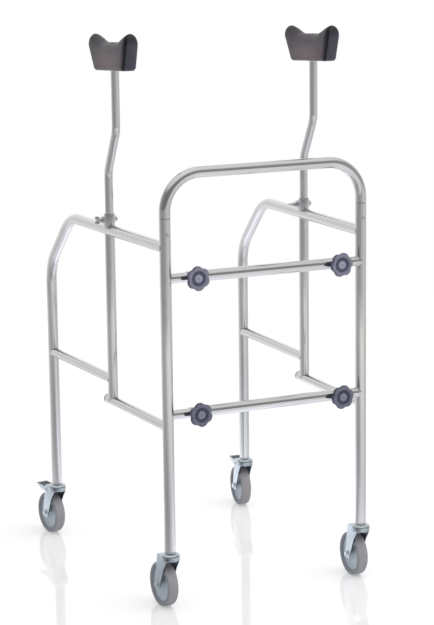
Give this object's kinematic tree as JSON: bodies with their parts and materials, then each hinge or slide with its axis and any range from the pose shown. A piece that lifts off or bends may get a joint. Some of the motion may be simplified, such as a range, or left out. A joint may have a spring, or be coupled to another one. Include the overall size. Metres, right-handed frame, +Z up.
{
  "type": "underarm walker",
  "caption": "Wheeled underarm walker of chromed tube with star-knob crossbars, braked swivel castors and cranked, height-adjustable underarm pads.",
  "frame": {"origin": "on the floor under the centre of the whole object", "axes": "+Z up, the front frame with the knobs at -Y, left is -X as seen from the front"},
  "size_m": [0.5682, 0.7578, 1.2546],
  "materials": {
    "chrome": "polished chrome plate on round steel tube",
    "bright_steel": "bright plated steel",
    "zinc_plate": "bright zinc plate on pressed steel",
    "knob_plastic": "dark blue-grey moulded plastic",
    "dark_plastic": "dark grey moulded plastic",
    "wheel_plastic": "pale blue-grey moulded plastic",
    "grey_rubber": "warm grey non-marking rubber",
    "pad_vinyl": "dark vinyl cover over foam"
  },
  "bodies": {
    "frame": {"top_bar": "chrome", "upper_crossbar": "chrome", "lower_crossbar": "chrome", "front_leg_left": "chrome", "rear_leg_left": "chrome", "mid_rail_left": "chrome", "low_rail_left": "chrome", "post_left": "chrome", "upper_stub_left": "chrome", "lower_stub_left": "chrome", "low_rail_plug_left": "dark_plastic", "clamp_collar_left": "bright_steel", "front_leg_right": "chrome", "rear_leg_right": "chrome", "mid_rail_right": "chrome", "low_rail_right": "chrome", "post_right": "chrome", "upper_stub_right": "chrome", "lower_stub_right": "chrome", "low_rail_plug_right": "dark_plastic", "clamp_collar_right": "bright_steel", "castor_front_left_stem": "bright_steel", "castor_front_right_stem": "bright_steel", "castor_rear_left_stem": "bright_steel", "castor_rear_right_stem": "bright_steel"},
    "upper_knob_left": {"upper_knob_left": "knob_plastic"},
    "lower_knob_left": {"lower_knob_left": "knob_plastic"},
    "upper_knob_right": {"upper_knob_right": "knob_plastic"},
    "lower_knob_right": {"lower_knob_right": "knob_plastic"},
    "clamp_screw_left": {"clamp_screw_left": "bright_steel"},
    "clamp_screw_right": {"clamp_screw_right": "bright_steel"},
    "snap_button_left": {"snap_button_left": "bright_steel"},
    "snap_button_right": {"snap_button_right": "bright_steel"},
    "crutch_bush_left": {"crutch_bush_left": "dark_plastic"},
    "crutch_left": {"crutch_tube_left": "chrome", "pad_left": "pad_vinyl"},
    "crutch_bush_right": {"crutch_bush_right": "dark_plastic"},
    "crutch_right": {"crutch_tube_right": "chrome", "pad_right": "pad_vinyl"},
    "castor_front_left_fork": {"castor_front_left_fork": "zinc_plate", "castor_front_left_axle": "bright_steel"},
    "castor_front_left_wheel": {"castor_front_left_wheel": "wheel_plastic", "castor_front_left_tyre": "grey_rubber"},
    "castor_front_right_fork": {"castor_front_right_fork": "zinc_plate", "castor_front_right_axle": "bright_steel"},
    "castor_front_right_wheel": {"castor_front_right_wheel": "wheel_plastic", "castor_front_right_tyre": "grey_rubber"},
    "castor_rear_left_fork": {"castor_rear_left_fork": "zinc_plate", "castor_rear_left_axle": "bright_steel", "castor_rear_left_pedal_pin": "bright_steel"},
    "castor_rear_left_wheel": {"castor_rear_left_wheel": "wheel_plastic", "castor_rear_left_tyre": "grey_rubber"},
    "castor_rear_left_pedal": {"castor_rear_left_pedal": "zinc_plate"},
    "castor_rear_right_fork": {"castor_rear_right_fork": "zinc_plate", "castor_rear_right_axle": "bright_steel", "castor_rear_right_pedal_pin": "bright_steel"},
    "castor_rear_right_wheel": {"castor_rear_right_wheel": "wheel_plastic", "castor_rear_right_tyre": "grey_rubber"},
    "castor_rear_right_pedal": {"castor_rear_right_pedal": "zinc_plate"}
  },
  "joints": [
    {"name": "upper_knob_left_turn", "type": "hinge", "parent": "frame", "child": "upper_knob_left", "pos_m": [-0.175, -0.34558, 0.741], "axis": [0, -1, 0], "continuous": true},
    {"name": "lower_knob_left_turn", "type": "hinge", "parent": "frame", "child": "lower_knob_left", "pos_m": [-0.1725, -0.34558, 0.44], "axis": [0, -1, 0], "continuous": true},
    {"name": "upper_knob_right_turn", "type": "hinge", "parent": "frame", "child": "upper_knob_right", "pos_m": [0.175, -0.34558, 0.741], "axis": [0, -1, 0], "continuous": true},
    {"name": "lower_knob_right_turn", "type": "hinge", "parent": "frame", "child": "lower_knob_right", "pos_m": [0.1775, -0.34558, 0.44], "axis": [0, -1, 0], "continuous": true},
    {"name": "clamp_screw_left_turn", "type": "hinge", "parent": "frame", "child": "clamp_screw_left", "pos_m": [-0.2476, -0.03971, 0.8305], "axis": [0.9996, 0.0281, 0], "continuous": true},
    {"name": "clamp_screw_right_turn", "type": "hinge", "parent": "frame", "child": "clamp_screw_right", "pos_m": [0.2476, -0.03971, 0.8305], "axis": [0.9996, -0.0281, 0], "continuous": true},
    {"name": "snap_button_left_press", "type": "slide", "parent": "frame", "child": "snap_button_left", "axis": [0, 1, 0], "range_m": [0, 0.003], "stiffness_N_per_m": 1500},
    {"name": "snap_button_right_press", "type": "slide", "parent": "frame", "child": "snap_button_right", "axis": [0, 1, 0], "range_m": [0, 0.003], "stiffness_N_per_m": 1500},
    {"name": "crutch_height_left", "type": "slide", "parent": "frame", "child": "crutch_bush_left", "axis": [0, 0, 1], "range_m": [-0.06, 0.2]},
    {"name": "crutch_turn_left", "type": "hinge", "parent": "crutch_bush_left", "child": "crutch_left", "pos_m": [-0.24713, -0.0567, 0.5], "axis": [0, 0, 1], "continuous": true},
    {"name": "crutch_height_right", "type": "slide", "parent": "frame", "child": "crutch_bush_right", "axis": [0, 0, 1], "range_m": [-0.06, 0.2]},
    {"name": "crutch_turn_right", "type": "hinge", "parent": "crutch_bush_right", "child": "crutch_right", "pos_m": [0.24713, -0.0567, 0.5], "axis": [0, 0, 1], "continuous": true},
    {"name": "castor_front_left_swivel", "type": "hinge", "parent": "frame", "child": "castor_front_left_fork", "pos_m": [-0.239, -0.34558, 0.12], "axis": [0, 0, 1], "continuous": true},
    {"name": "castor_front_left_roll", "type": "hinge", "parent": "castor_front_left_fork", "child": "castor_front_left_wheel", "pos_m": [-0.24019, -0.31161, 0.05], "axis": [0.9994, 0.0349, 0], "continuous": true},
    {"name": "castor_front_right_swivel", "type": "hinge", "parent": "frame", "child": "castor_front_right_fork", "pos_m": [0.239, -0.34558, 0.12], "axis": [0, 0, 1], "continuous": true},
    {"name": "castor_front_right_roll", "type": "hinge", "parent": "castor_front_right_fork", "child": "castor_front_right_wheel", "pos_m": [0.24019, -0.31161, 0.05], "axis": [0.9994, -0.0349, 0], "continuous": true},
    {"name": "castor_rear_left_swivel", "type": "hinge", "parent": "frame", "child": "castor_rear_left_fork", "pos_m": [-0.257, 0.29441, 0.12], "axis": [0, 0, 1], "continuous": true},
    {"name": "castor_rear_left_roll", "type": "hinge", "parent": "castor_rear_left_fork", "child": "castor_rear_left_wheel", "pos_m": [-0.26114, 0.32816, 0.05], "axis": [0.9925, 0.1219, 0], "continuous": true},
    {"name": "castor_rear_left_pedal_press", "type": "hinge", "parent": "castor_rear_left_fork", "child": "castor_rear_left_pedal", "pos_m": [-0.26029, 0.32121, 0.11], "axis": [-0.9925, -0.1219, 0], "range_deg": [0, 12]},
    {"name": "castor_rear_right_swivel", "type": "hinge", "parent": "frame", "child": "castor_rear_right_fork", "pos_m": [0.257, 0.29441, 0.12], "axis": [0, 0, 1], "continuous": true},
    {"name": "castor_rear_right_roll", "type": "hinge", "parent": "castor_rear_right_fork", "child": "castor_rear_right_wheel", "pos_m": [0.26114, 0.32816, 0.05], "axis": [0.9925, -0.1219, 0], "continuous": true},
    {"name": "castor_rear_right_pedal_press", "type": "hinge", "parent": "castor_rear_right_fork", "child": "castor_rear_right_pedal", "pos_m": [0.26029, 0.32121, 0.11], "axis": [-0.9925, 0.1219, 0], "range_deg": [0, 12]}
  ]
}
